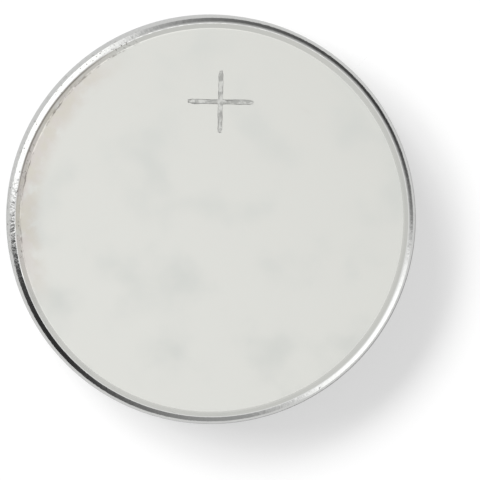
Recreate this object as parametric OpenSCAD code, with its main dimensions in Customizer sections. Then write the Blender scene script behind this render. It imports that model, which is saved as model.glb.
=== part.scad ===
// Lithium coin cell, 12.5 mm across and 2.0 mm high, positive can upwards.
// Millimetres. The origin is the middle of the negative face, and +Z points at the positive face.
// Every piece is turned about Z, so each one is a section in radius and height that is revolved.

/* [Cell] */
// Diameter over the can
cell_d = 12.5; // [11:0.1:24.5]
// Height from the negative face to the positive face
cell_h = 2; // [1.8:0.1:3.2]

/* [Positive can] */
// Thickness of the can's sheet steel
can_t = 0.2; // [0.16:0.01:0.24]
// Width of the bevel round the positive face
bevel_w = 0.17; // [0.1:0.01:0.3]
// Slope of the bevel in degrees
bevel_angle = 10; // [5:1:20]
// Outside radius of the bends on both sides of the bevel
can_corner_r = 0.28; // [0.22:0.01:0.35]
// Outside radius of the rolled rim
crimp_r = 0.6; // [0.5:0.01:0.7]
// How far the rolled rim lies behind the negative face
rim_step = 0.12; // [0.08:0.01:0.2]
// Gap between the can's cut edge and the gasket's bead
edge_gap = 0.02; // [0.01:0.01:0.06]

/* [Negative cap] */
// Thickness of the cap's sheet steel
cap_t = 0.2; // [0.16:0.01:0.22]
// Outside radius between the negative face and the riser
cap_corner_r = 0.3; // [0.25:0.01:0.36]
// Fillet between the riser and the shoulder
cap_fillet_r = 0.08; // [0.04:0.01:0.1]
// Width of the shoulder that the gasket is pressed against
shoulder_w = 0.5; // [0.44:0.01:0.56]
// Outside radius between the shoulder and the skirt
shoulder_r = 0.25; // [0.23:0.01:0.28]
// Slit inside the folded hem of the skirt
hem_slit = 0.08; // [0.04:0.01:0.12]
// Gap between the hem's cut edge and the rolled corner of the gasket
hem_gap = 0.08; // [0.03:0.01:0.2]

/* [Gasket] */
// Gap between the gasket and the can's wall and rim
seat_gap = 0.005; // [0.002:0.001:0.02]
// Thickness of the gasket's wall and lip
gasket_t = 0.2; // [0.15:0.01:0.24]
// Thickness of the gasket under the folded hem
foot_t = 0.2; // [0.12:0.01:0.3]
// Thickness of the gasket's inner leg
leg_t = 0.2; // [0.12:0.01:0.3]
// Height of the inner leg over the can's floor
leg_h = 0.75; // [0.55:0.01:0.95]
// How much thicker the bead at the end of the lip is than the lip
bead_extra = 0.06; // [0.02:0.01:0.1]
// Gap between the bead and the cap's riser
bead_gap = 0.04; // [0.02:0.01:0.06]

/* [Electrodes] */
// Thickness of the lithium disc
anode_h = 0.4; // [0.25:0.01:0.45]
// Gap between the lithium disc and the cap's riser
anode_gap = 0.9; // [0.5:0.05:1.5]
// Thickness of the separator
separator_t = 0.12; // [0.06:0.01:0.2]
// Gap between the separator and the cap's riser
separator_gap = 0.06; // [0.03:0.01:0.3]
// Gap between the cathode's ring and the gasket's inner leg
cathode_gap = 0.5; // [0.2:0.05:1]
// Chamfer round the cathode pellet, on the separator's side
cathode_chamfer = 0.1; // [0.05:0.01:0.2]
// Thickness of the ring's sheet steel
ring_t = 0.1; // [0.06:0.01:0.15]
// Height of the ring round the pellet
ring_h = 0.6; // [0.4:0.05:0.8]
// Width of the ring's flange on the can's floor
ring_flange_w = 0.7; // [0.4:0.05:1.2]
// Inside radius of the ring's bend
ring_bend_r = 0.05; // [0.03:0.01:0.1]

/* [Hidden] */
$fn = 128;

can_r = cell_d / 2;
can_bore_r = can_r - can_t;
can_floor = cell_h - can_t;
face_r = can_r - can_corner_r - bevel_w * cos(bevel_angle);
wall_top_z = cell_h - can_corner_r - bevel_w * sin(bevel_angle);
roll_x = can_r - crimp_r;
roll_z = rim_step + crimp_r;

// The cap's skirt stands in the gasket, and its hem is folded outwards, back along the skirt
gasket_r = can_bore_r - seat_gap;
hem_r = gasket_r - gasket_t;
hem_fold_r = cap_t + hem_slit / 2;
skirt_r = hem_r - cap_t - hem_slit;
riser_r = skirt_r - shoulder_w;
cap_bore_r = riser_r - cap_t;
shoulder_z = rim_step + can_t + seat_gap + gasket_t;
fold_z = can_floor - foot_t - hem_fold_r;
hem_edge_z = roll_z + hem_gap;

leg_r = skirt_r - cap_t - leg_t;
bead_r = (gasket_t + bead_extra) / 2;
bead_x = riser_r + bead_gap + bead_r;

separator_z = cap_t + anode_h;
cathode_z = separator_z + separator_t;
ring_r = leg_r - cathode_gap;
cathode_r = ring_r - ring_t;
flange_bore_r = ring_r - ring_flange_w;

// A bend in a strip that comes in along +X, with the bend's centre at the origin.
// The turn is in degrees, to the left, or to the right if it is negative.
module bend(thickness, turn, inside_r) {
    outside_r = inside_r + thickness;
    start = turn > 0 ? -90 : 90;
    reach = 2 * outside_r;
    intersection() {
        difference() {
            circle(outside_r);
            circle(inside_r);
        }
        polygon([[0, 0], for (i = [0:3]) reach * [cos(start + i * turn / 3), sin(start + i * turn / 3)]]);
    }
}

// A strip of sheet in section. It starts at the origin along +X, with its thickness on the left.
// Each entry of the path is [straight run, turn, inside radius of the bend], and a turn of 0 ends it.
module strip(thickness, path, i = 0) {
    run = path[i][0];
    turn = path[i][1];
    inside_r = path[i][2];
    centre_y = turn > 0 ? thickness + inside_r : -inside_r;
    square([run, thickness]);
    if (turn != 0)
        translate([run, centre_y]) {
            bend(thickness, turn, inside_r);
            rotate(turn) translate([0, -centre_y]) strip(thickness, path, i + 1);
        }
}

// Drawn cup. Its open edge is rolled in over the gasket, which seals the cell.
module positive_can() {
    color("#d9dad5") rotate_extrude() translate([0, can_floor]) strip(can_t, [
        [face_r, -bevel_angle, can_corner_r - can_t],
        [bevel_w, bevel_angle - 90, can_corner_r - can_t],
        [wall_top_z - roll_z, -90, crimp_r - can_t],
        [roll_x - bead_x - bead_r - edge_gap, 0, 0]
    ]);
}

// Pressed cap: a flat face, a riser, a shoulder, and a skirt whose edge is folded back into a hem.
module negative_cap() {
    color("#d3d4d0") rotate_extrude() strip(cap_t, [
        [riser_r - cap_corner_r, 90, cap_corner_r - cap_t],
        [shoulder_z - cap_corner_r - cap_fillet_r, -90, cap_fillet_r],
        [shoulder_w - cap_fillet_r - shoulder_r, 90, shoulder_r - cap_t],
        [fold_z - shoulder_z - shoulder_r, -180, hem_slit / 2],
        [fold_z - hem_edge_z, 0, 0]
    ]);
}

// Moulded ring that keeps the can and the cap apart: a foot with a channel for the hem,
// a wall that lines the can, and a lip under the rolled rim that ends in a round bead.
module gasket() {
    // The foot's corner touches the can's floor and wall, and is round enough to clear the bevel
    corner_r = (gasket_r - face_r) / (1 - tan(bevel_angle / 2));
    leg_z = can_floor - leg_h;
    color("#e8e6da") rotate_extrude() {
        difference() {
            translate([leg_r, leg_z]) {
                square([gasket_r - leg_r, leg_h - corner_r]);
                square([gasket_r - leg_r - corner_r, leg_h]);
                translate([gasket_r - leg_r - corner_r, leg_h - corner_r]) circle(corner_r);
            }
            translate([hem_r - 2 * hem_fold_r, 0]) square([2 * hem_fold_r, fold_z]);
            translate([hem_r - hem_fold_r, fold_z]) circle(hem_fold_r);
        }
        translate([hem_r, leg_z]) rotate(-90) strip(gasket_t, [
            [leg_z - roll_z, -90, hem_r - roll_x],
            [roll_x - bead_x, 0, 0]
        ]);
        translate([bead_x, shoulder_z - bead_r]) circle(bead_r);
    }
}

// Disc punched from lithium foil and pressed into the cap.
module lithium_anode() {
    color("#b9bcc0") translate([0, 0, cap_t]) cylinder(h = anode_h, r = cap_bore_r - anode_gap);
}

// Disc of non-woven cloth that holds the electrolyte.
module separator() {
    color("#f2f2ee") translate([0, 0, separator_z]) cylinder(h = separator_t, r = cap_bore_r - separator_gap);
}

// Tablet of manganese dioxide and graphite. It is pressed into its ring, and stands through
// the ring's flange to the can's floor.
module cathode_pellet() {
    flange_z = can_floor - ring_t;
    color("#2b2b2d") rotate_extrude() {
        polygon([
            [0, cathode_z],
            [cathode_r - cathode_chamfer, cathode_z],
            [cathode_r, cathode_z + cathode_chamfer],
            [cathode_r, flange_z - ring_bend_r],
            [0, flange_z - ring_bend_r]
        ]);
        translate([0, flange_z - ring_bend_r]) square([cathode_r - ring_bend_r, ring_bend_r]);
        translate([cathode_r - ring_bend_r, flange_z - ring_bend_r]) circle(ring_bend_r);
        translate([0, flange_z]) square([flange_bore_r, ring_t]);
    }
}

// Ring of L section that holds the pellet and carries its current to the can's floor.
module cathode_ring() {
    color("#c4c6c8") rotate_extrude() translate([flange_bore_r, can_floor - ring_t]) strip(ring_t, [
        [cathode_r - ring_bend_r - flange_bore_r, -90, ring_bend_r],
        [ring_h - ring_t - ring_bend_r, 0, 0]
    ]);
}

positive_can();
gasket();
negative_cap();
lithium_anode();
separator();
cathode_pellet();
cathode_ring();
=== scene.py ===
import math

import bpy
from mathutils import Matrix, Vector


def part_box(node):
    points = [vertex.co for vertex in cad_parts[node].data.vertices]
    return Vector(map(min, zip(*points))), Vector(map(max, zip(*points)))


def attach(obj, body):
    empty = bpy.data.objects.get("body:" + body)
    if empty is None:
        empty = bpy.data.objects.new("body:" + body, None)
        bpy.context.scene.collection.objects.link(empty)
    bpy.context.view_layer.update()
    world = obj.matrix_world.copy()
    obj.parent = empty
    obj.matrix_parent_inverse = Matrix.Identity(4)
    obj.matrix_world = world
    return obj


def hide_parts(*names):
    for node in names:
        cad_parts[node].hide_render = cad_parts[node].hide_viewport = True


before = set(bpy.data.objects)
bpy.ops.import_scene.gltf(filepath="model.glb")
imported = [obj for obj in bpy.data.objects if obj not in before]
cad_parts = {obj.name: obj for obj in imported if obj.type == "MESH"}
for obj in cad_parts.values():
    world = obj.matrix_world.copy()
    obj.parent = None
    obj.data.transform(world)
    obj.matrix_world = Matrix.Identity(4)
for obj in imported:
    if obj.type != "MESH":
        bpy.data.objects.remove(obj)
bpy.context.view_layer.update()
mm = 0.001
print("frame loaded")


# Where a straight run gets its points: the ends, and one close to each end that holds the shading flat
def runPoints(run, hold=0.012, longRun=2, shares=(0.1, 0.45, 0.8)):
    if run <= 3 * hold:
        return [0, run] if run > 0 else [0]
    if run < longRun:
        return [0, hold, run - hold, run]
    return [0, *(run * share for share in shares), run - hold, run]


# Both skins of a bent sheet, from the axis to the rounded cut edge and back
# Each leg of the path is a straight run, a turn in degrees with left as positive, and the bend's inside radius
def sheetSection(height, sheet, path, edgeRadius, degreesPerStep, edgeSteps=4):
    right, left = [], []
    pen, heading = Vector((0, height)), 0.0
    for number, (run, turn, insideRadius) in enumerate(path):
        ahead = Vector((math.cos(heading), math.sin(heading)))
        aside = Vector((-ahead.y, ahead.x))
        length = run if turn else run - edgeRadius
        for distance in runPoints(length)[1 if number else 0:]:
            right.append(pen + ahead * distance)
            left.append(pen + ahead * distance + aside * sheet)
        pen = pen + ahead * length
        if not turn:
            break
        side = 1 if turn > 0 else -1
        centre = pen + aside * (sheet + insideRadius if turn > 0 else -insideRadius)
        steps = max(3, math.ceil(abs(turn) / degreesPerStep))
        for step in range(1, steps + 1):
            angle = heading + math.radians(turn) * step / steps
            across = Vector((-math.sin(angle), math.cos(angle)))
            rightRadius = sheet + insideRadius if turn > 0 else insideRadius
            leftRadius = insideRadius if turn > 0 else sheet + insideRadius
            right.append(centre - across * rightRadius * side)
            left.append(centre - across * leftRadius * side)
        heading += math.radians(turn)
        pen = right[-1].copy()
    corners = []
    for centre, begin in ((pen + aside * edgeRadius, -90), (pen + aside * (sheet - edgeRadius), 0)):
        for step in range(edgeSteps + 1):
            angle = math.radians(begin + 90 * step / edgeSteps)
            corners.append(centre + (ahead * math.cos(angle) + aside * math.sin(angle)) * edgeRadius)
    return right + corners[1:-1] + left[::-1]


# Points on an arc, without its first one
def arcPoints(centre, radius, begin, end, degreesPerStep=6):
    steps = max(3, math.ceil(abs(end - begin) / degreesPerStep))
    angles = [math.radians(begin + (end - begin) * step / steps) for step in range(1, steps + 1)]
    return [Vector((centre[0] + radius * math.cos(a), centre[1] + radius * math.sin(a))) for a in angles]


# Draws the section with one vertex, pulls it along by extruding, and spins the section about Z
def turnSection(name, section, steps, weld=0.0001):
    bpy.ops.object.select_all(action="DESELECT")
    bpy.ops.mesh.primitive_plane_add(size=mm)
    piece = bpy.context.object
    piece.name = piece.data.name = name
    bpy.ops.object.mode_set(mode="EDIT")
    bpy.ops.mesh.select_mode(type="VERT")
    bpy.ops.mesh.select_all(action="SELECT")
    bpy.ops.mesh.merge(type="CENTER")
    bpy.ops.transform.translate(value=(section[0].x * mm, 0, section[0].y * mm))
    for last, point in zip(section, section[1:]):
        pull = (point - last) * mm
        bpy.ops.mesh.extrude_region_move(TRANSFORM_OT_translate={"value": (pull.x, 0, pull.y)})
    bpy.ops.mesh.select_all(action="SELECT")
    bpy.ops.mesh.spin(steps=steps, angle=math.tau, center=(0, 0, 0), axis=(0, 0, 1))
    bpy.ops.mesh.select_all(action="SELECT")
    bpy.ops.mesh.remove_doubles(threshold=weld * mm)
    bpy.ops.mesh.normals_make_consistent(inside=False)
    bpy.ops.object.mode_set(mode="OBJECT")
    return piece


def pickPiece(piece):
    bpy.ops.object.select_all(action="DESELECT")
    piece.select_set(True)
    bpy.context.view_layer.objects.active = piece


def applyModifier(piece, kind, **settings):
    pickPiece(piece)
    modifier = piece.modifiers.new(kind.title(), kind)
    for key, value in settings.items():
        setattr(modifier, key, value)
    bpy.ops.object.modifier_apply(modifier=modifier.name)


def shadeTurned(piece, degrees=32):
    pickPiece(piece)
    bpy.ops.object.shade_smooth_by_angle(angle=math.radians(degrees))


# In edit mode: selects the vertices whose place passes the test, and nothing else
def pickVertices(piece, test):
    bpy.ops.mesh.select_mode(type="VERT")
    bpy.ops.mesh.select_all(action="DESELECT")
    bpy.ops.object.mode_set(mode="OBJECT")
    for vertex in piece.data.vertices:
        vertex.select = test(vertex.co)
    bpy.ops.object.mode_set(mode="EDIT")


def standFor(piece, node):
    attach(piece, "root")
    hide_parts(node)


nodeSpacing = 200


# Adds a shader node; an input is linked if it's a socket, and set if it's a value
def addNode(tree, kind, place, inputs=None, **settings):
    node = tree.nodes.new(kind)
    node.location = (place[0] * nodeSpacing, place[1] * -nodeSpacing)
    for key, value in settings.items():
        setattr(node, key, value)
    for key, value in (inputs or {}).items():
        if isinstance(value, bpy.types.NodeSocket):
            tree.links.new(value, node.inputs[key])
        else:
            node.inputs[key].default_value = value
    return node


def setRamp(node, stops):
    ramp = node.color_ramp
    while len(ramp.elements) < len(stops):
        ramp.elements.new(1.0)
    for element, (position, value) in zip(ramp.elements, stops):
        element.position = position
        element.color = (value, value, value, 1)


# An empty group with its sockets; each input is a name, a type and a value
def newGroup(name, inputs, outputs):
    tree = bpy.data.node_groups.new(name, "ShaderNodeTree")
    for label, kind, value in inputs:
        socket = tree.interface.new_socket(label, in_out="INPUT", socket_type="NodeSocket" + kind)
        if value is not None:
            socket.default_value = value
    for label in outputs:
        tree.interface.new_socket(label, in_out="OUTPUT", socket_type="NodeSocketFloat")
    start = addNode(tree, "NodeGroupInput", (-6, 0))
    end = addNode(tree, "NodeGroupOutput", (6, 0))
    return tree, start.outputs, end.inputs


def maths(tree, operation, place, first, second=0.0, third=0.0):
    node = addNode(tree, "ShaderNodeMath", place, {0: first, 1: second, 2: third}, operation=operation)
    return node.outputs[0]


def mapRange(tree, place, value, low, high, toLow=0.0, toHigh=1.0, smooth=True):
    node = addNode(tree, "ShaderNodeMapRange", place, {
        "Value": value, "From Min": low, "From Max": high, "To Min": toLow, "To Max": toHigh,
    }, interpolation_type="SMOOTHSTEP" if smooth else "LINEAR")
    return node.outputs[0]


# Distance from the axis, without the height
def radiusOf(tree, place, vector):
    flat = addNode(tree, "ShaderNodeVectorMath", place, {0: vector, 1: (1, 1, 0)}, operation="MULTIPLY")
    length = addNode(tree, "ShaderNodeVectorMath", (place[0] + 1, place[1]), {0: flat.outputs[0]}, operation="LENGTH")
    return length.outputs["Value"]


# Soft stains: a slow noise, cut between two levels
def makeBlotches():
    tree, source, result = newGroup("softBlotches", [
        ("Vector", "Vector", None), ("Size", "Float", 2.0), ("Seed", "Float", 0.0),
        ("Low", "Float", 0.4), ("High", "Float", 0.65),
    ], ["Mask"])
    scale = maths(tree, "DIVIDE", (-4, 1), 1.0, source["Size"])
    noise = addNode(tree, "ShaderNodeTexNoise", (-3, 0), {
        "Vector": source["Vector"], "W": source["Seed"], "Scale": scale, "Detail": 3.0, "Roughness": 0.55,
    }, noise_dimensions="4D")
    mask = mapRange(tree, (0, 0), noise.outputs["Fac"], source["Low"], source["High"])
    tree.links.new(mask, result["Mask"])
    return tree


# Circular tool and press lines, by distance from the axis
def makeCircularLines():
    tree, source, result = newGroup("circularLines", [
        ("Vector", "Vector", None), ("Lines per mm", "Float", 20.0), ("Wobble", "Float", 0.03),
    ], ["Height"])
    radius = radiusOf(tree, (-5, 0), source["Vector"])
    drift = addNode(tree, "ShaderNodeTexNoise", (-4, 2), {"Vector": source["Vector"], "Scale": 0.6, "Detail": 2.0})
    moved = maths(tree, "MULTIPLY_ADD", (-2, 1), drift.outputs["Fac"], source["Wobble"], radius)
    along = maths(tree, "MULTIPLY", (-1, 1), moved, source["Lines per mm"])
    lines = addNode(tree, "ShaderNodeTexNoise", (0, 1), {
        "W": along, "Scale": 1.0, "Detail": 3.0, "Roughness": 0.7,
    }, noise_dimensions="1D")
    tree.links.new(lines.outputs["Fac"], result["Height"])
    return tree


# Thin rub marks in one direction: noise stretched a long way, with only its peaks kept
def makeRubMarks():
    tree, source, result = newGroup("rubMarks", [
        ("Vector", "Vector", None), ("Angle", "Float", 0.0), ("Across", "Float", 9.0), ("Along", "Float", 0.35),
        ("Seed", "Float", 0.0), ("Cut", "Float", 0.62),
    ], ["Mask"])
    turned = addNode(tree, "ShaderNodeVectorRotate", (-5, 0), {
        "Vector": source["Vector"], "Angle": source["Angle"],
    }, rotation_type="Z_AXIS")
    stretch = addNode(tree, "ShaderNodeCombineXYZ", (-5, 2), {0: source["Along"], 1: source["Across"], 2: 1.0})
    stretched = addNode(tree, "ShaderNodeVectorMath", (-4, 0), {
        0: turned.outputs[0], 1: stretch.outputs[0],
    }, operation="MULTIPLY")
    noise = addNode(tree, "ShaderNodeTexNoise", (-2, 0), {
        "Vector": stretched.outputs[0], "W": source["Seed"], "Scale": 1.0, "Detail": 4.0, "Roughness": 0.65,
    }, noise_dimensions="4D")
    high = maths(tree, "ADD", (-2, 2), source["Cut"], 0.07)
    mask = mapRange(tree, (0, 0), noise.outputs["Fac"], source["Cut"], high)
    tree.links.new(mask, result["Mask"])
    return tree


# Fine grain of a pickled, pressed or moulded surface
def makeFineGrain():
    tree, source, result = newGroup("fineGrain", [
        ("Vector", "Vector", None), ("Size", "Float", 0.1), ("Seed", "Float", 0.0),
    ], ["Height"])
    scale = maths(tree, "DIVIDE", (-4, 1), 1.0, source["Size"])
    noise = addNode(tree, "ShaderNodeTexNoise", (-2, 0), {
        "Vector": source["Vector"], "W": source["Seed"], "Scale": scale, "Detail": 2.5, "Roughness": 0.6,
    }, noise_dimensions="4D")
    tree.links.new(noise.outputs["Fac"], result["Height"])
    return tree


# Fine upright marks that a drawing die leaves on a wall: noise stretched along Z
def makeDrawMarks():
    tree, source, result = newGroup("drawMarks", [
        ("Vector", "Vector", None), ("Width", "Float", 0.05), ("Seed", "Float", 0.0),
    ], ["Height"])
    scale = maths(tree, "DIVIDE", (-4, 1), 1.0, source["Width"])
    stretched = addNode(tree, "ShaderNodeVectorMath", (-4, 0), {
        0: source["Vector"], 1: (1, 1, 0.05),
    }, operation="MULTIPLY")
    noise = addNode(tree, "ShaderNodeTexNoise", (-2, 0), {
        "Vector": stretched.outputs[0], "W": source["Seed"], "Scale": scale, "Detail": 3.0, "Roughness": 0.65,
    }, noise_dimensions="4D")
    tree.links.new(noise.outputs["Fac"], result["Height"])
    return tree


# One side of a round piece: full in the middle of the sector, nothing outside it
def makeSector():
    tree, source, result = newGroup("sector", [
        ("Vector", "Vector", None), ("Towards", "Float", 0.0), ("Full", "Float", 0.4), ("Reach", "Float", 0.8),
    ], ["Mask"])
    flat = addNode(tree, "ShaderNodeVectorMath", (-5, 0), {0: source["Vector"], 1: (1, 1, 0)}, operation="MULTIPLY")
    way = addNode(tree, "ShaderNodeVectorMath", (-4, 0), {0: flat.outputs[0]}, operation="NORMALIZE")
    middle = addNode(tree, "ShaderNodeCombineXYZ", (-4, 2), {
        0: maths(tree, "COSINE", (-5, 2), source["Towards"]), 1: maths(tree, "SINE", (-5, 3), source["Towards"]),
    })
    nearness = addNode(tree, "ShaderNodeVectorMath", (-3, 0), {
        0: way.outputs[0], 1: middle.outputs[0],
    }, operation="DOT_PRODUCT")
    angle = maths(tree, "ARCCOSINE", (-2, 0), nearness.outputs["Value"])
    mask = mapRange(tree, (0, 0), angle, source["Full"], source["Reach"], 1.0, 0.0)
    tree.links.new(mask, result["Mask"])
    return tree


# A thin ring at one radius, which wavers and thins out by a noise
def makeRingLine():
    tree, source, result = newGroup("ringLine", [
        ("Vector", "Vector", None), ("At", "Float", 5.8), ("Width", "Float", 0.03), ("Waver", "Float", 0.04),
        ("Seed", "Float", 0.0), ("Broken", "Float", 0.3),
    ], ["Mask"])
    radius = radiusOf(tree, (-6, 0), source["Vector"])
    noise = addNode(tree, "ShaderNodeTexNoise", (-5, 2), {
        "Vector": source["Vector"], "W": source["Seed"], "Scale": 3.5, "Detail": 4.0, "Roughness": 0.7,
    }, noise_dimensions="4D")
    drift = maths(tree, "SUBTRACT", (-4, 2), noise.outputs["Fac"], 0.5)
    moved = maths(tree, "MULTIPLY_ADD", (-3, 1), drift, source["Waver"], radius)
    apart = maths(tree, "ABSOLUTE", (-1, 1), maths(tree, "SUBTRACT", (-2, 1), moved, source["At"]))
    breaks = addNode(tree, "ShaderNodeTexNoise", (-5, 4), {
        "Vector": source["Vector"], "W": maths(tree, "ADD", (-6, 4), source["Seed"], 40.0), "Scale": 1.3,
        "Detail": 5.0, "Roughness": 0.75,
    }, noise_dimensions="4D")
    high = maths(tree, "ADD", (-3, 4), source["Broken"], 0.25)
    kept = mapRange(tree, (-1, 3), breaks.outputs["Fac"], source["Broken"], high)
    wide = maths(tree, "MULTIPLY", (0, 3), source["Width"], maths(tree, "MULTIPLY_ADD", (0, 4), kept, 0.7, 0.3))
    line = mapRange(tree, (1, 1), apart, 0.0, wide, 1.0, 0.0)
    tree.links.new(maths(tree, "MULTIPLY", (2, 1), line, kept), result["Mask"])
    return tree


blotches, circularLines, rubMarks, fineGrain = makeBlotches(), makeCircularLines(), makeRubMarks(), makeFineGrain()
drawMarks, sector, ringLine = makeDrawMarks(), makeSector(), makeRingLine()


def placeGroup(tree, group, place, inputs):
    return addNode(tree, "ShaderNodeGroup", place, inputs, node_tree=group).outputs[0]


# A new material with its shader, and the object's own coordinates in millimetres
def newMaterial(name, **values):
    material = bpy.data.materials.new(name)
    material.use_nodes = True
    tree = material.node_tree
    shader = tree.nodes["Principled BSDF"]
    for key, value in values.items():
        shader.inputs[key].default_value = value
    here = addNode(tree, "ShaderNodeTexCoord", (-14, 0))
    inMillimetres = addNode(tree, "ShaderNodeMapping", (-13, 0), {
        "Vector": here.outputs["Object"], "Scale": (1000, 1000, 1000),
    })
    return material, tree, shader, inMillimetres.outputs[0]


def mixColours(tree, place, factor, first, second):
    node = addNode(tree, "ShaderNodeMix", place, {0: factor, 6: first, 7: second}, data_type="RGBA")
    return node.outputs[2]


# Adds a bump of a depth in millimetres, on top of the one under it
def addBump(tree, shader, place, height, depth, under=None):
    inputs = {"Height": height, "Distance": depth * mm, "Strength": 1.0}
    if under is not None:
        inputs["Normal"] = under
    node = addNode(tree, "ShaderNodeBump", place, inputs)
    tree.links.new(node.outputs[0], shader.inputs["Normal"])
    return node.outputs[0]


# crease and bend are radii of the bevel's two edges, and wallTop is the height where the wall's finish ends
# Each side has its direction in degrees, and how far round from there it is full and how far it reaches
canLook = {
    # The face's darker steel is painted shade, for uneven light across the face
    "steel": (0.788, 0.792, 0.755, 1), "cool": (0.742, 0.756, 0.724, 1), "shaded": (0.726, 0.729, 0.693, 1),
    "tan": (0.68, 0.655, 0.59, 1), "pink": (0.69, 0.652, 0.622, 1), "dirt": (0.20, 0.18, 0.16, 1),
    # The polished edge steel is brighter than the face steel partly to lift the rim's highlights: polish and painted
    # highlight
    "polishedPaintedHighlight": (0.93, 0.935, 0.92, 1), "faceRoughness": 0.30, "edgeRoughness": 0.10,
    "coolRoughness": 0.04, "markRoughness": 0.06, "dirtRoughness": 0.25,
    "crease": 5.835, "bend": 5.985, "wallTop": 1.69, "wallFade": 0.1, "blend": 0.02,
    "shadeFrom": -6.0, "shadeTo": 6.0, "shadeLean": 0.1, "coolSize": 1.6,
    "stainTowards": 162, "stainFull": 20, "stainReach": 48, "stainWidth": 0.65, "stainInset": 0.1,
    "pinkSize": 0.6, "tanSize": 0.35, "speckSize": 0.07, "dirtCover": 0.9,
    "dirtTowards": 150, "dirtFull": 32, "dirtReach": 46, "creaseWidth": 0.055, "creaseWaver": 0.11,
    # The bend line settings place a painted dark reflection at the bevel's outer bend
    "bendTowards": 147, "bendFull": 12, "bendReach": 34, "bendWidth": 0.05, "bendWaver": 0.02,
    "softTowards": 322, "softFull": 18, "softReach": 42, "softWidth": 0.06, "softHeight": 0.001,
    "grainSize": 0.12, "grainDepth": 0.0006, "markDepth": 0.0004, "drawDepth": 0.0012,
    "waveSize": 0.13, "waveDepth": 0.005, "wallWaves": 0.06,
    "roughTowards": 181, "roughFull": 7, "roughReach": 20, "roughWaves": 3.0,
}


def canSide(tree, at, place, look, side):
    return placeGroup(tree, sector, at, {
        "Vector": place, "Towards": math.radians(look[side + "Towards"]),
        "Full": math.radians(look[side + "Full"]), "Reach": math.radians(look[side + "Reach"]),
    })


# Painted shade: the face darkens upwards, standing in for uneven light across it; with cooler patches, and stained
# inside the crease where the bevel meets the face sharply
def faceColour(tree, place, split, radius, cool, look):
    # Painted shade: how far up the face a point lies sets how much darker its steel is
    upwards = maths(tree, "MULTIPLY_ADD", (-11, 5), split.outputs["X"], look["shadeLean"], split.outputs["Y"])
    shaded = mapRange(tree, (-10, 5), upwards, look["shadeFrom"], look["shadeTo"], smooth=False)
    colour = mixColours(tree, (-7, 0), shaded, look["steel"], look["shaded"])
    colour = mixColours(tree, (-6, 0), cool, colour, look["cool"])
    stainEnd = look["crease"] - look["stainInset"]
    nearCrease = mapRange(tree, (-9, 8), radius, stainEnd - look["stainWidth"], stainEnd)
    stained = maths(tree, "MULTIPLY", (-8, 7), canSide(tree, (-9, 7), place, look, "stain"), nearCrease)
    for row, (stain, seed, low, high) in enumerate((("pink", 9.0, 0.3, 0.55), ("tan", 8.0, 0.4, 0.62))):
        patches = placeGroup(tree, blotches, (-9, 9 + row), {
            "Vector": place, "Size": look[stain + "Size"], "Seed": seed, "Low": low, "High": high,
        })
        cover = maths(tree, "MULTIPLY", (-7, 9 + row), stained, patches)
        colour = mixColours(tree, (-5, 1 + row), cover, colour, look[stain])
    return colour


# Dirt in the crease, with specks on the bevel between them, and a painted dark reflection at the bevel's outer bend,
# drawn as a dark line in the dirt colour
def bevelDirt(tree, place, radius, onTop, look):
    crease = placeGroup(tree, ringLine, (-9, 13), {
        "Vector": place, "At": look["crease"], "Width": look["creaseWidth"], "Waver": look["creaseWaver"],
        "Seed": 12.0, "Broken": 0.40,
    })
    # Painted reflection: a dark line at the bevel's outer bend on one side, standing in for a dark reflection there
    bend = placeGroup(tree, ringLine, (-9, 14), {
        "Vector": place, "At": look["bend"], "Width": look["bendWidth"], "Waver": look["bendWaver"],
        "Seed": 13.0, "Broken": 0.12,
    })
    specks = placeGroup(tree, blotches, (-9, 15), {
        "Vector": place, "Size": look["speckSize"], "Seed": 17.0, "Low": 0.60, "High": 0.68,
    })
    onBevel = mapRange(tree, (-9, 16), radius, look["crease"], look["crease"] + look["blend"])
    specks = maths(tree, "MULTIPLY", (-8, 15), specks, maths(tree, "MULTIPLY", (-8, 16), onBevel, onTop))
    dirt = maths(tree, "MAXIMUM", (-8, 13), crease, specks)
    dirt = maths(tree, "MULTIPLY", (-7, 12), dirt, canSide(tree, (-9, 12), place, look, "dirt"))
    # The painted dark reflection joins the crease dirt here
    atBend = maths(tree, "MULTIPLY", (-7, 14), bend, canSide(tree, (-9, 11), place, look, "bend"))
    dirt = maths(tree, "MAXIMUM", (-6, 13), dirt, atBend)
    return maths(tree, "MULTIPLY", (-5, 13), dirt, look["dirtCover"])


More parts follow.
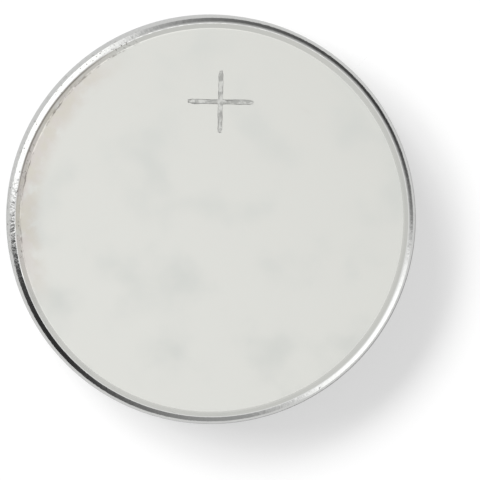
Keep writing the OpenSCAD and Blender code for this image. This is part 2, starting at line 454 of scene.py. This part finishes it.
# Grain and rub marks, a soft ridge outside the crease on the far side, waves on the rounded edge, which are
# rougher on one side, and fine upright marks from the drawing die on the wall
def addCanBump(tree, shader, place, radius, onTop, marks, look):
    blend = look["blend"]
    grain = placeGroup(tree, fineGrain, (-5, 7), {"Vector": place, "Size": look["grainSize"], "Seed": 1.0})
    bump = addBump(tree, shader, (-3, 7), grain, look["grainDepth"])
    bump = addBump(tree, shader, (-2, 7), marks, look["markDepth"], under=bump)

    highest = look["crease"] + look["softWidth"]
    rise = mapRange(tree, (-5, 10), radius, look["crease"] - blend, highest)
    fall = mapRange(tree, (-5, 11), radius, highest, look["bend"] + blend / 2, 1.0, 0.0)
    ridge = maths(tree, "MULTIPLY", (-4, 10), rise, fall)
    ridge = maths(tree, "MULTIPLY", (-3, 10), ridge, canSide(tree, (-5, 9), place, look, "soft"))
    bump = addBump(tree, shader, (-1, 7), ridge, look["softHeight"], under=bump)

    waves = placeGroup(tree, fineGrain, (-5, 13), {"Vector": place, "Size": look["waveSize"], "Seed": 27.0})
    rougher = canSide(tree, (-5, 14), place, look, "rough")
    strength = maths(tree, "MULTIPLY_ADD", (-4, 14), rougher, look["roughWaves"], 1.0)
    byHeight = mapRange(tree, (-4, 15), onTop, 0.0, 1.0, look["wallWaves"], 1.0)
    strength = maths(tree, "MULTIPLY", (-3, 15), strength, byHeight)
    outside = mapRange(tree, (-4, 13), radius, look["bend"], look["bend"] + 1.5 * blend)
    waves = maths(tree, "MULTIPLY", (-3, 14), waves, strength)
    waves = maths(tree, "MULTIPLY", (-3, 13), waves, outside)
    bump = addBump(tree, shader, (0, 7), waves, look["waveDepth"], under=bump)

    drawn = placeGroup(tree, drawMarks, (-5, 17), {"Vector": place, "Seed": 15.0})
    drawn = maths(tree, "MULTIPLY", (-3, 17), drawn, mapRange(tree, (-4, 18), onTop, 0.0, 1.0, 1.0, 0.0))
    addBump(tree, shader, (1, 7), drawn, look["drawDepth"], under=bump)


def makeCanSteel(look):
    material, tree, shader, place = newMaterial("canSteel", Metallic=1.0)
    blend = look["blend"]
    radius = radiusOf(tree, (-12, 3), place)
    split = addNode(tree, "ShaderNodeSeparateXYZ", (-12, 5), {0: place})
    onTop = mapRange(tree, (-9, 17), split.outputs["Z"], look["wallTop"], look["wallTop"] + look["wallFade"])
    cool = placeGroup(tree, blotches, (-9, 0), {
        "Vector": place, "Size": look["coolSize"], "Seed": 3.0, "Low": 0.45, "High": 0.75,
    })

    colour = faceColour(tree, place, split, radius, cool, look)
    # Partly painted highlight: past the outer bend the rounded edge takes a brighter steel, polished and also lifted
    # so that the rim's highlights reach white
    polish = mapRange(tree, (-6, 2), radius, look["bend"] - blend / 2, look["bend"] + blend)
    colour = mixColours(tree, (-4, 1), polish, colour, look["polishedPaintedHighlight"])
    # Dirt, and a painted dark reflection line at the outer bend, in one mask
    dirt = bevelDirt(tree, place, radius, onTop, look)
    colour = mixColours(tree, (-3, 0), dirt, colour, look["dirt"])
    tree.links.new(colour, shader.inputs["Base Color"])

    marks = maths(
        tree, "MAXIMUM", (-7, 18),
        placeGroup(tree, rubMarks, (-9, 18), {"Vector": place, "Angle": 0.5, "Seed": 2.0, "Cut": 0.66}),
        placeGroup(tree, rubMarks, (-9, 19), {"Vector": place, "Angle": 2.1, "Seed": 5.0, "Cut": 0.67}),
    )
    offFace = mapRange(tree, (-7, 4), radius, look["crease"] - blend, look["crease"] + blend)
    roughness = mapRange(tree, (-5, 4), offFace, 0.0, 1.0, look["faceRoughness"], look["edgeRoughness"], smooth=False)
    roughness = maths(tree, "MULTIPLY_ADD", (-4, 4), cool, look["coolRoughness"], roughness)
    roughness = maths(tree, "MULTIPLY_ADD", (-3, 4), marks, look["markRoughness"], roughness)
    roughness = maths(tree, "MULTIPLY_ADD", (-2, 4), dirt, look["dirtRoughness"], roughness)
    tree.links.new(roughness, shader.inputs["Roughness"])
    addCanBump(tree, shader, place, radius, onTop, marks, look)
    return material


stampLook = {
    "dull": (0.62, 0.625, 0.60, 1), "bright": (0.745, 0.75, 0.72, 1), "dullRoughness": 0.5, "brightRoughness": 0.34,
    "patchSize": 0.16, "grainSize": 0.07, "grainDepth": 0.009,
}


def makeStampedSteel(look):
    material, tree, shader, place = newMaterial("stampedSteel", Metallic=1.0)
    patches = placeGroup(tree, blotches, (-9, 0), {
        "Vector": place, "Size": look["patchSize"], "Seed": 4.0, "Low": 0.42, "High": 0.6,
    })
    colour = mixColours(tree, (-6, 0), patches, look["dull"], look["bright"])
    tree.links.new(colour, shader.inputs["Base Color"])
    roughness = mapRange(
        tree, (-5, 2), patches, 0.0, 1.0, look["dullRoughness"], look["brightRoughness"], smooth=False)
    tree.links.new(roughness, shader.inputs["Roughness"])
    grain = placeGroup(tree, fineGrain, (-5, 4), {"Vector": place, "Size": look["grainSize"], "Seed": 6.0})
    addBump(tree, shader, (-3, 4), grain, look["grainDepth"])
    return material


capLook = {
    "steel": (0.72, 0.722, 0.70, 1), "stain": (0.68, 0.675, 0.645, 1), "stainSize": 1.8,
    "smoothest": 0.26, "roughest": 0.36, "markRoughness": 0.08,
    "linesPerMm": 16.0, "lineDepth": 0.0012, "markDepth": 0.0006,
}


def makeCapSteel(look):
    material, tree, shader, place = newMaterial("capSteel", Metallic=1.0)
    stain = placeGroup(tree, blotches, (-9, 0), {"Vector": place, "Size": look["stainSize"], "Seed": 11.0})
    colour = mixColours(tree, (-6, 0), stain, look["steel"], look["stain"])
    tree.links.new(colour, shader.inputs["Base Color"])
    lines = placeGroup(tree, circularLines, (-9, 2), {"Vector": place, "Lines per mm": look["linesPerMm"]})
    marks = placeGroup(tree, rubMarks, (-9, 4), {"Vector": place, "Angle": 1.2, "Seed": 7.0, "Cut": 0.64})
    roughness = mapRange(tree, (-6, 2), lines, 0.3, 0.7, look["smoothest"], look["roughest"])
    roughness = maths(tree, "MULTIPLY_ADD", (-5, 3), marks, look["markRoughness"], roughness)
    tree.links.new(roughness, shader.inputs["Roughness"])
    bump = addBump(tree, shader, (-3, 2), lines, look["lineDepth"])
    addBump(tree, shader, (-2, 2), marks, look["markDepth"], under=bump)
    return material


gasketLook = {
    "clear": (0.80, 0.78, 0.72, 1), "cloudy": (0.74, 0.715, 0.64, 1), "cloudSize": 0.9,
    "clearRoughness": 0.34, "cloudyRoughness": 0.46, "refraction": 1.49,
    "glow": 0.35, "glowTint": (1.0, 0.95, 0.85), "glowDepth": 0.3, "grainSize": 0.15, "grainDepth": 0.003,
}


def makeGasketPlastic(look):
    material, tree, shader, place = newMaterial("gasketPlastic", Metallic=0.0)
    shader.inputs["IOR"].default_value = look["refraction"]
    shader.inputs["Subsurface Weight"].default_value = look["glow"]
    shader.inputs["Subsurface Radius"].default_value = look["glowTint"]
    shader.inputs["Subsurface Scale"].default_value = look["glowDepth"] * mm
    cloud = placeGroup(tree, blotches, (-9, 0), {"Vector": place, "Size": look["cloudSize"], "Seed": 14.0})
    colour = mixColours(tree, (-6, 0), cloud, look["clear"], look["cloudy"])
    tree.links.new(colour, shader.inputs["Base Color"])
    roughness = mapRange(tree, (-6, 2), cloud, 0.0, 1.0, look["clearRoughness"], look["cloudyRoughness"])
    tree.links.new(roughness, shader.inputs["Roughness"])
    grain = placeGroup(tree, fineGrain, (-5, 4), {"Vector": place, "Size": look["grainSize"], "Seed": 9.0})
    addBump(tree, shader, (-3, 4), grain, look["grainDepth"])
    return material


foilLook = {
    "fresh": (0.60, 0.61, 0.63, 1), "tarnished": (0.40, 0.41, 0.45, 1), "tarnishSize": 1.4,
    "freshRoughness": 0.38, "tarnishedRoughness": 0.62, "linesAcross": 14.0, "lineDepth": 0.003,
}


def makeLithiumFoil(look):
    material, tree, shader, place = newMaterial("lithiumFoil", Metallic=1.0)
    tarnish = placeGroup(tree, blotches, (-9, 0), {
        "Vector": place, "Size": look["tarnishSize"], "Seed": 21.0, "Low": 0.38, "High": 0.7,
    })
    colour = mixColours(tree, (-6, 0), tarnish, look["fresh"], look["tarnished"])
    tree.links.new(colour, shader.inputs["Base Color"])
    roughness = mapRange(tree, (-6, 2), tarnish, 0.0, 1.0, look["freshRoughness"], look["tarnishedRoughness"])
    tree.links.new(roughness, shader.inputs["Roughness"])
    rolled = placeGroup(tree, rubMarks, (-9, 4), {
        "Vector": place, "Angle": 0.2, "Across": look["linesAcross"], "Seed": 22.0, "Cut": 0.5,
    })
    addBump(tree, shader, (-3, 4), rolled, look["lineDepth"])
    return material


clothLook = {
    "between": (0.76, 0.76, 0.73, 1), "fibre": (0.90, 0.90, 0.88, 1), "roughness": 0.9,
    "layAngles": (0.1, 0.9, 1.75, 2.6), "across": 22.0, "along": 1.2, "depth": 0.008,
}


# A web of fibres that lie in four directions
def makeSeparatorCloth(look):
    material, tree, shader, place = newMaterial("separatorCloth", Roughness=look["roughness"])
    fibres = [placeGroup(tree, rubMarks, (-9, number), {
        "Vector": place, "Angle": angle, "Across": look["across"], "Along": look["along"],
        "Seed": 31.0 + number, "Cut": 0.5,
    }) for number, angle in enumerate(look["layAngles"])]
    web = fibres[0]
    for number, layer in enumerate(fibres[1:]):
        web = maths(tree, "ADD", (number - 7, 0), web, layer)
    shade = mapRange(tree, (-4, 0), web, 0.0, 2.0)
    colour = mixColours(tree, (-3, 0), shade, look["between"], look["fibre"])
    tree.links.new(colour, shader.inputs["Base Color"])
    addBump(tree, shader, (-3, 3), web, look["depth"])
    return material


powderLook = {
    "black": (0.018, 0.018, 0.02, 1), "grey": (0.055, 0.055, 0.058, 1), "dull": 0.72, "sheen": 0.48,
    "sheenSize": 0.7, "grainSize": 0.09, "grainDepth": 0.01,
}


def makeCathodePowder(look):
    material, tree, shader, place = newMaterial("cathodePowder", Metallic=0.0)
    grain = placeGroup(tree, fineGrain, (-9, 0), {"Vector": place, "Size": look["grainSize"], "Seed": 41.0})
    sheen = placeGroup(tree, blotches, (-9, 2), {"Vector": place, "Size": look["sheenSize"], "Seed": 43.0})
    colour = mixColours(tree, (-6, 0), grain, look["black"], look["grey"])
    tree.links.new(colour, shader.inputs["Base Color"])
    roughness = mapRange(tree, (-6, 2), sheen, 0.0, 1.0, look["dull"], look["sheen"])
    tree.links.new(roughness, shader.inputs["Roughness"])
    addBump(tree, shader, (-3, 3), grain, look["grainDepth"])
    return material


ringLook = {
    "steel": (0.68, 0.685, 0.69, 1), "stain": (0.62, 0.615, 0.60, 1), "stainSize": 1.0,
    "smoothest": 0.2, "roughest": 0.34, "linesPerMm": 12.0, "lineDepth": 0.001,
}


def makeRingSteel(look):
    material, tree, shader, place = newMaterial("ringSteel", Metallic=1.0)
    stain = placeGroup(tree, blotches, (-9, 0), {"Vector": place, "Size": look["stainSize"], "Seed": 51.0})
    colour = mixColours(tree, (-6, 0), stain, look["steel"], look["stain"])
    tree.links.new(colour, shader.inputs["Base Color"])
    lines = placeGroup(tree, circularLines, (-9, 2), {"Vector": place, "Lines per mm": look["linesPerMm"]})
    roughness = mapRange(tree, (-6, 2), lines, 0.3, 0.7, look["smoothest"], look["roughest"])
    tree.links.new(roughness, shader.inputs["Roughness"])
    addBump(tree, shader, (-3, 2), lines, look["lineDepth"])
    return material


canSteel, stampedSteel = makeCanSteel(canLook), makeStampedSteel(stampLook)
capSteel, gasketPlastic = makeCapSteel(capLook), makeGasketPlastic(gasketLook)
print("materials made")


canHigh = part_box("positive_can")[1]
canRadius, cellHeight = canHigh.x / mm, canHigh.z / mm
canShape = {
    "sheet": 0.2, "bevelWidth": 0.12, "bevelAngle": 10, "cornerRadius": 0.31, "rollRadius": 0.6, "rimStep": 0.12,
    "lipRadius": 5.385, "edgeRadius": 0.03, "spinSteps": 360, "degreesPerStep": 6,
}


def makeCan(shape):
    slope = math.radians(shape["bevelAngle"])
    sheet, corner, roll = shape["sheet"], shape["cornerRadius"], shape["rollRadius"]
    faceRadius = canRadius - corner - shape["bevelWidth"] * math.cos(slope)
    wallTop = cellHeight - corner - shape["bevelWidth"] * math.sin(slope)
    section = sheetSection(cellHeight - sheet, sheet, [
        (faceRadius, -shape["bevelAngle"], corner - sheet),
        (shape["bevelWidth"], shape["bevelAngle"] - 90, corner - sheet),
        (wallTop - roll - shape["rimStep"], -90, roll - sheet),
        (canRadius - roll - shape["lipRadius"], 0, 0),
    ], shape["edgeRadius"], shape["degreesPerStep"])
    can = turnSection("positiveCan", section, shape["spinSteps"])
    can.data.materials.append(canSteel)
    return can


plusShape = {
    "centre": (0.24, 3.613), "turn": -1.2, "across": 2.04, "up": 1.94, "stroke": 0.20, "depth": 0.012,
    "taper": 0.6, "endTaper": 0.96, "roughEdge": 0.009, "flattened": 0.3, "cuts": 30, "endWidths": (0.62, 0.88),
    "acrossSeed": 3, "upSeed": 7,
}


# One bar of the punch: a box, cut along its length, narrowed below and at its ends, and roughened
def makePunchBar(name, length, turn, seed, shape):
    bpy.ops.object.select_all(action="DESELECT")
    bpy.ops.mesh.primitive_cube_add(size=mm)
    bar = bpy.context.object
    bar.name = name
    spacing = length / shape["cuts"] * mm
    bpy.ops.object.mode_set(mode="EDIT")
    bpy.ops.mesh.select_all(action="SELECT")
    bpy.ops.transform.resize(value=(length, shape["stroke"], shape["depth"] * 2))
    for number in range(1, shape["cuts"]):
        bpy.ops.mesh.select_all(action="SELECT")
        x = (number / shape["cuts"] - 0.5) * length * mm
        bpy.ops.mesh.bisect(plane_co=(x, 0, 0), plane_no=(1, 0, 0))
    bpy.ops.mesh.select_all(action="SELECT")
    bpy.ops.mesh.bisect(plane_co=(0, 0, 0), plane_no=(0, 1, 0))
    for number, width in enumerate(shape["endWidths"]):
        station = (0.5 - number / shape["cuts"]) * length * mm
        pickVertices(bar, lambda place: abs(abs(place.x) - station) < spacing / 5)
        bpy.ops.transform.resize(value=(1, width, 1), center_override=(0, 0, 0))
    pickVertices(bar, lambda place: place.z < 0)
    bpy.ops.transform.resize(value=(shape["endTaper"], shape["taper"], 1), center_override=(0, 0, 0))
    bpy.ops.mesh.select_all(action="SELECT")
    bpy.ops.transform.vertex_random(offset=shape["roughEdge"] * mm, uniform=1.0, seed=seed)
    pickVertices(bar, lambda place: place.z < 0)
    bpy.ops.transform.resize(value=(1, 1, shape["flattened"]), center_override=(0, 0, -shape["depth"] * mm))
    pickVertices(bar, lambda place: place.z > 0)
    bpy.ops.transform.translate(value=(0, 0, shape["depth"] * mm))
    bpy.ops.object.mode_set(mode="OBJECT")
    bar.data.transform(Matrix.Rotation(math.radians(shape["turn"] + turn), 4, "Z"))
    bar.data.transform(Matrix.Translation((shape["centre"][0] * mm, shape["centre"][1] * mm, cellHeight * mm)))
    bar.data.materials.append(canSteel)
    bar.data.materials.append(stampedSteel)
    for face in bar.data.polygons:
        face.material_index = 1
    return bar


def stampPlus(can, shape):
    bars = (("punchAcross", shape["across"], 0, shape["acrossSeed"]), ("punchUp", shape["up"], 90, shape["upSeed"]))
    for name, length, turn, seed in bars:
        punch = makePunchBar(name, length, turn, seed, shape)
        applyModifier(can, "BOOLEAN", object=punch, operation="DIFFERENCE", solver="EXACT")
        bpy.data.objects.remove(punch, do_unlink=True)


# A knock across the rounded edge, as a stretched ball that is taken away
nickShape = {
    "direction": 302.3, "radius": 6.13, "height": 1.942, "size": (0.26, 0.055, 0.06), "turn": 284, "lean": 32,
    "segments": 16, "rings": 10,
}


def knockEdge(can, shape):
    bpy.ops.object.select_all(action="DESELECT")
    bpy.ops.mesh.primitive_uv_sphere_add(segments=shape["segments"], ring_count=shape["rings"], radius=0.5 * mm)
    ball = bpy.context.object
    ball.data.transform(Matrix.Diagonal((*shape["size"], 1)))
    ball.data.transform(Matrix.Rotation(math.radians(shape["lean"]), 4, "Y"))
    ball.data.transform(Matrix.Rotation(math.radians(shape["turn"]), 4, "Z"))
    way = math.radians(shape["direction"])
    place = Vector((shape["radius"] * math.cos(way), shape["radius"] * math.sin(way), shape["height"]))
    ball.data.transform(Matrix.Translation(place * mm))
    ball.data.materials.append(canSteel)
    applyModifier(can, "BOOLEAN", object=ball, operation="DIFFERENCE", solver="EXACT")
    bpy.data.objects.remove(ball, do_unlink=True)


# Keeps the shading of one material's faces apart from the faces round them
def sharpenRound(piece, slotNumber):
    pickPiece(piece)
    piece.active_material_index = slotNumber
    bpy.ops.object.mode_set(mode="EDIT")
    bpy.ops.mesh.select_mode(type="FACE")
    bpy.ops.mesh.select_all(action="DESELECT")
    bpy.ops.object.material_slot_select()
    bpy.ops.mesh.region_to_loop()
    bpy.ops.mesh.mark_sharp()
    bpy.ops.mesh.select_mode(type="VERT")
    bpy.ops.object.mode_set(mode="OBJECT")


can = makeCan(canShape)
can.data.materials.append(stampedSteel)
stampPlus(can, plusShape)
knockEdge(can, nickShape)
shadeTurned(can)
sharpenRound(can, 1)
standFor(can, "positive_can")
print("can made", len(can.data.polygons))


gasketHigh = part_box("gasket")[1]
gasketShape = {
    "wall": 0.2, "footWall": 0.2, "legWidth": 0.2, "legHeight": 0.75, "cornerRadius": 0.2656, "channelRadius": 0.24,
    "lipLevel": 0.325, "beadX": 5.235, "beadRadius": 0.13, "rollX": 5.65, "rollZ": 0.72, "spinSteps": 300,
}


def makeGasket(shape):
    outer, top = gasketHigh.x / mm, gasketHigh.z / mm
    inner = outer - shape["wall"]
    channelX = inner - shape["channelRadius"]
    channelZ = top - shape["footWall"] - shape["channelRadius"]
    legOuter = channelX - shape["channelRadius"]
    legInner = legOuter - shape["legWidth"]
    legEnd = top - shape["legHeight"]
    rollX, rollZ, bead = shape["rollX"], shape["rollZ"], shape["beadRadius"]
    beadZ = shape["lipLevel"] + shape["wall"] - bead
    drop = beadZ - shape["lipLevel"]
    meeting = math.degrees(math.asin(drop / bead))
    section = [Vector((legInner, legEnd)), Vector((legInner, top)), Vector((outer - shape["cornerRadius"], top))]
    section += arcPoints((outer - shape["cornerRadius"], top - shape["cornerRadius"]), shape["cornerRadius"], 90, 0)
    section.append(Vector((outer, rollZ)))
    section += arcPoints((rollX, rollZ), outer - rollX, 0, -90)
    section.append(Vector((shape["beadX"] + bead * math.cos(math.radians(meeting)), shape["lipLevel"])))
    section += arcPoints((shape["beadX"], beadZ), bead, -meeting, -270, degreesPerStep=10)
    section.append(Vector((rollX, shape["lipLevel"] + shape["wall"])))
    section += arcPoints((rollX, rollZ), inner - rollX, -90, 0)
    section.append(Vector((inner, channelZ)))
    section += arcPoints((channelX, channelZ), shape["channelRadius"], 0, 180)
    section += [Vector((legOuter, legEnd)), Vector((legInner, legEnd))]
    gasket = turnSection("gasketRing", section, shape["spinSteps"])
    gasket.data.materials.append(gasketPlastic)
    return gasket


gasket = makeGasket(gasketShape)
shadeTurned(gasket)
standFor(gasket, "gasket")
print("gasket made", len(gasket.data.polygons))


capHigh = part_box("negative_cap")[1]
capShape = {
    "sheet": 0.2, "cornerRadius": 0.3, "filletRadius": 0.08, "shoulderWidth": 0.5, "shoulderRadius": 0.25,
    "shoulderLevel": 0.525, "hemSlit": 0.08, "hemEdge": 0.8, "edgeRadius": 0.03,
    "spinSteps": 360, "degreesPerStep": 7,
}


def makeCap(shape):
    sheet, corner, fillet = shape["sheet"], shape["cornerRadius"], shape["filletRadius"]
    shoulder, slit = shape["shoulderRadius"], shape["hemSlit"]
    riser = capHigh.x / mm - sheet - slit - shape["shoulderWidth"]
    foldLevel = capHigh.z / mm - sheet - slit / 2
    section = sheetSection(0, sheet, [
        (riser - corner, 90, corner - sheet),
        (shape["shoulderLevel"] - corner - fillet, -90, fillet),
        (shape["shoulderWidth"] - fillet - shoulder, 90, shoulder - sheet),
        (foldLevel - shape["shoulderLevel"] - shoulder, -180, slit / 2),
        (foldLevel - shape["hemEdge"], 0, 0),
    ], shape["edgeRadius"], shape["degreesPerStep"])
    cap = turnSection("negativeCap", section, shape["spinSteps"])
    cap.data.materials.append(capSteel)
    return cap


cap = makeCap(capShape)
shadeTurned(cap)
standFor(cap, "negative_cap")
print("cap made", len(cap.data.polygons))


# Sealed-in pieces keep their CAD meshes
def dressNode(nodeName, material):
    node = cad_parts[nodeName]
    node.data.materials.clear()
    node.data.materials.append(material)


dressNode("lithium_anode", makeLithiumFoil(foilLook))
dressNode("separator", makeSeparatorCloth(clothLook))
dressNode("cathode_pellet", makeCathodePowder(powderLook))
dressNode("cathode_ring", makeRingSteel(ringLook))
print("inner pieces dressed")


# The camera looks down at a spot on the cell, leaning away from straight up by the tilt
cameraPlace = {
    "lookAt": (0.892, -0.645, 1.22), "awayX": -0.75, "awayY": 0.66, "tilt": 5.7,
    "frameWidth": 14.705, "lens": 300, "sensor": 36, "nearest": 10, "farthest": 10000,
}


def makeCamera(setup):
    tilt = math.radians(setup["tilt"])
    away = Vector((setup["awayX"], setup["awayY"])).normalized() * math.sin(tilt)
    backward = Vector((away.x, away.y, math.cos(tilt)))
    distance = setup["frameWidth"] * setup["lens"] / setup["sensor"]
    right = Vector((0, 1, 0)).cross(backward).normalized()
    up = backward.cross(right)
    data = bpy.data.cameras.new("studioCamera")
    data.lens, data.sensor_width = setup["lens"], setup["sensor"]
    data.clip_start, data.clip_end = setup["nearest"] * mm, setup["farthest"] * mm
    camera = bpy.data.objects.new("studioCamera", data)
    turn = Matrix((right, up, backward)).transposed().to_4x4()
    camera.matrix_world = Matrix.Translation((Vector(setup["lookAt"]) + backward * distance) * mm) @ turn
    bpy.context.scene.collection.objects.link(camera)
    bpy.context.scene.camera = camera


floorLook = {
    "size": 4000, "drop": 0.002, "paper": (0.35, 0.35, 0.35, 1),
    "glow": 0.51, "mirroredGlow": 0.09, "contact": 0.25,
}


# Paper that looks white to the camera, and keeps the cell's shadow; its glow is darkened near the cell, a painted
# contact shade
def makeFloor(look):
    bpy.ops.object.select_all(action="DESELECT")
    bpy.ops.mesh.primitive_plane_add(size=look["size"] * mm, location=(0, 0, -look["drop"] * mm))
    floor = bpy.context.object
    floor.name = "floorPaper"
    material = bpy.data.materials.new("floorPaper")
    material.use_nodes = True
    tree = material.node_tree
    tree.nodes.clear()
    paper = addNode(tree, "ShaderNodeBsdfDiffuse", (0, 0), {"Color": look["paper"]})
    ray = addNode(tree, "ShaderNodeLightPath", (-3, 1))
    mirrored = maths(tree, "MAXIMUM", (-2, 1), ray.outputs["Is Glossy Ray"], ray.outputs["Is Transmission Ray"])
    mirrored = maths(tree, "MULTIPLY", (-1, 1), mirrored, look["mirroredGlow"])
    seen = maths(tree, "MULTIPLY_ADD", (0, 1), ray.outputs["Is Camera Ray"], look["glow"], mirrored)
    # Painted contact shade: ambient occlusion darkens the glow near the cell
    contact = addNode(tree, "ShaderNodeAmbientOcclusion", (-1, 3), {"Distance": look["contact"] * mm})
    seen = maths(tree, "MULTIPLY", (1, 2), seen, contact.outputs["AO"])
    glow = addNode(tree, "ShaderNodeEmission", (0, 2), {"Strength": seen})
    both = addNode(tree, "ShaderNodeAddShader", (1, 0), {0: paper.outputs[0], 1: glow.outputs[0]})
    addNode(tree, "ShaderNodeOutputMaterial", (2, 0), {"Surface": both.outputs[0]})
    floor.data.materials.append(material)


# Brightness of the studio: overhead by degrees from straight up, and round the sides by direction in degrees
# The sides take over from the overhead light between two angles, which differ by direction
studioLight = {
    "overhead": [(0, 1.31), (8, 1.29), (13, 0.76), (18, 0.71), (21, 0.78), (24, 0.78), (30, 0.66)],
    "sides": [(0, 0.20), (11, 0.09), (26, 0.04), (50, 0.065), (75, 0.12), (90, 0.20), (105, 0.42), (116, 0.9),
              (126, 1.15), (150, 1.18), (167, 1.15), (174, 1.0), (180, 0.65), (187, 0.38), (196, 0.13), (205, 0.05),
              (215, 0.03), (228, 0.028), (240, 0.056), (255, 0.16), (270, 0.27), (285, 0.31), (296, 0.6), (304, 1.0),
              (315, 1.15), (334, 1.15), (344, 0.92), (351, 0.55), (357, 0.24), (360, 0.20)],
    "sidesStart": 23, "startSwing": 4.5, "startTowards": 135, "sidesWidth": 18, "widthSwing": 16, "widthTowards": 225,
    "keysFrom": (125, 142, 159), "keyHeight": 38, "keySpread": 20, "keyPower": 1.6,
}


# An angle from straight up that swings with the direction, as a share of half a turn
def swingBy(tree, place, direction, middle, swing, towards):
    turned = maths(tree, "SUBTRACT", place, direction, math.radians(towards))
    wave = maths(tree, "COSINE", (place[0] + 1, place[1]), turned)
    return maths(tree, "MULTIPLY_ADD", (place[0] + 2, place[1]), wave, swing / 180, middle / 180)


def makeStudio(light):
    world = bpy.data.worlds.new("studio")
    bpy.context.scene.world = world
    world.use_nodes = True
    tree = world.node_tree
    tree.nodes.clear()
    way = addNode(tree, "ShaderNodeTexCoord", (-9, 0))
    split = addNode(tree, "ShaderNodeSeparateXYZ", (-8, 0), {0: way.outputs["Generated"]})
    fromTop = maths(tree, "DIVIDE", (-6, 0), maths(tree, "ARCCOSINE", (-7, 0), split.outputs["Z"]), math.pi)
    overhead = addNode(tree, "ShaderNodeValToRGB", (-5, 0), {0: fromTop})
    setRamp(overhead, [(degrees / 180, value) for degrees, value in light["overhead"]])
    direction = maths(tree, "ARCTAN2", (-7, 2), split.outputs["Y"], split.outputs["X"])
    around = maths(tree, "DIVIDE", (-6, 2), direction, math.tau)
    around = maths(tree, "FRACT", (-5, 2), maths(tree, "ADD", (-6, 3), around, 1.0))
    sides = addNode(tree, "ShaderNodeValToRGB", (-4, 2), {0: around})
    setRamp(sides, [(degrees / 360, value) for degrees, value in light["sides"]])
    begin = swingBy(tree, (-7, 5), direction, light["sidesStart"], -light["startSwing"], light["startTowards"])
    width = swingBy(tree, (-7, 7), direction, light["sidesWidth"], -light["widthSwing"], light["widthTowards"])
    low = mapRange(tree, (-3, 1), fromTop, begin, maths(tree, "ADD", (-4, 6), begin, width), smooth=False)
    room = mixColours(tree, (-1, 0), low, overhead.outputs[0], sides.outputs[0])
    ray = addNode(tree, "ShaderNodeLightPath", (-1, 3))
    seen = mixColours(tree, (0, 0), ray.outputs["Is Camera Ray"], room, (1, 1, 1, 1))
    background = addNode(tree, "ShaderNodeBackground", (1, 0), {"Color": seen, "Strength": 1.0})
    addNode(tree, "ShaderNodeOutputWorld", (2, 0), {"Surface": background.outputs[0]})

    # One wide soft box, as three lamps side by side
    height = math.radians(light["keyHeight"])
    for number, degrees in enumerate(light["keysFrom"]):
        key = math.radians(degrees)
        data = bpy.data.lights.new(f"keyLight{number}", "SUN")
        data.energy, data.angle = light["keyPower"], math.radians(light["keySpread"])
        lamp = bpy.data.objects.new(f"keyLight{number}", data)
        toLamp = Vector((math.cos(key) * math.cos(height), math.sin(key) * math.cos(height), math.sin(height)))
        lamp.rotation_euler = toLamp.to_track_quat("Z", "Y").to_euler()
        lamp.visible_glossy = False
        bpy.context.scene.collection.objects.link(lamp)


makeCamera(cameraPlace)
makeFloor(floorLook)
makeStudio(studioLight)
bpy.context.scene.view_settings.view_transform = "Standard"
print("studio set")
